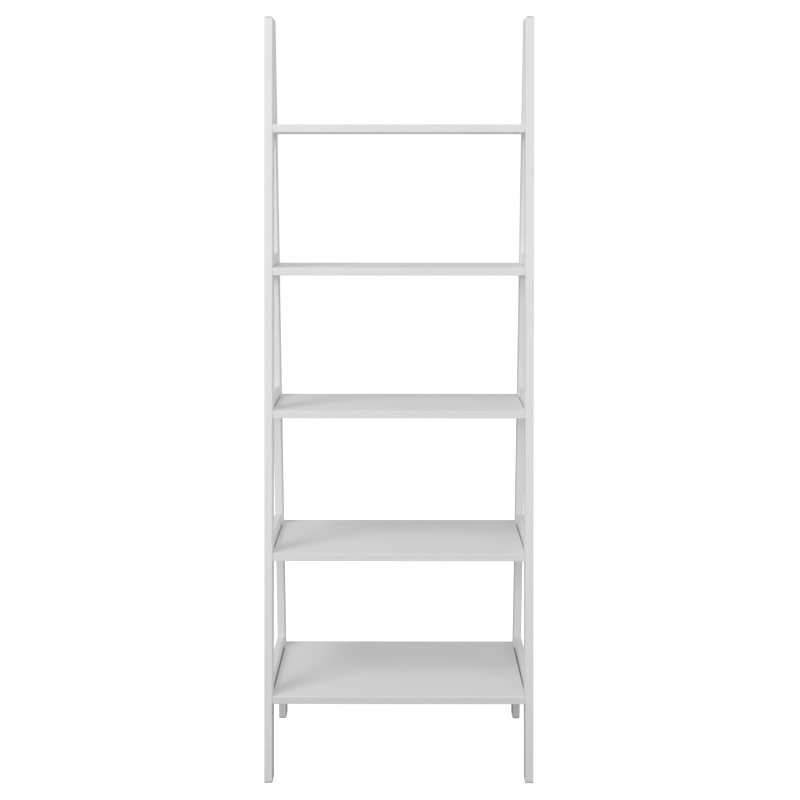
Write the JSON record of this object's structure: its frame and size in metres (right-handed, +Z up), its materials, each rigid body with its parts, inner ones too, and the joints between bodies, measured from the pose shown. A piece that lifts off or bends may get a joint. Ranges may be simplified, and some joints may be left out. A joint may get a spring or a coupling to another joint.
{
  "type": "ladder shelf",
  "caption": "Free-standing ladder shelf with leaning front legs, upright rear legs, flat side rungs and open boards that get deeper towards the floor.",
  "frame": {"origin": "middle of the overall footprint, on the floor", "axes": "+Z up, -Y towards the front, +X to the right as seen from the front"},
  "size_m": [0.653, 0.4, 1.829],
  "materials": {
    "painted_wood": "satin white paint",
    "bare_dowel_wood": "bare sanded beech",
    "zinc_steel": "bright zinc plate"
  },
  "bodies": {
    "root": {"left_front_leg": "painted_wood", "left_rear_leg": "painted_wood", "left_bottom_rung": "painted_wood", "left_lower_rung": "painted_wood", "left_middle_rung": "painted_wood", "left_upper_rung": "painted_wood", "left_top_rung": "painted_wood", "right_front_leg": "painted_wood", "right_rear_leg": "painted_wood", "right_bottom_rung": "painted_wood", "right_lower_rung": "painted_wood", "right_middle_rung": "painted_wood", "right_upper_rung": "painted_wood", "right_top_rung": "painted_wood", "bottom_shelf": "painted_wood", "lower_shelf": "painted_wood", "middle_shelf": "painted_wood", "upper_shelf": "painted_wood", "top_shelf": "painted_wood", "left_rung_dowels": "bare_dowel_wood", "left_top_dowels": "bare_dowel_wood", "right_rung_dowels": "bare_dowel_wood", "right_top_dowels": "bare_dowel_wood", "bottom_shelf_bolts": "zinc_steel", "lower_shelf_bolts": "zinc_steel", "middle_shelf_bolts": "zinc_steel", "upper_shelf_bolts": "zinc_steel", "top_shelf_bolts": "zinc_steel", "bottom_shelf_barrel_nuts": "zinc_steel", "lower_shelf_barrel_nuts": "zinc_steel", "middle_shelf_barrel_nuts": "zinc_steel", "upper_shelf_barrel_nuts": "zinc_steel", "top_shelf_barrel_nuts": "zinc_steel"}
  },
  "joints": []
}
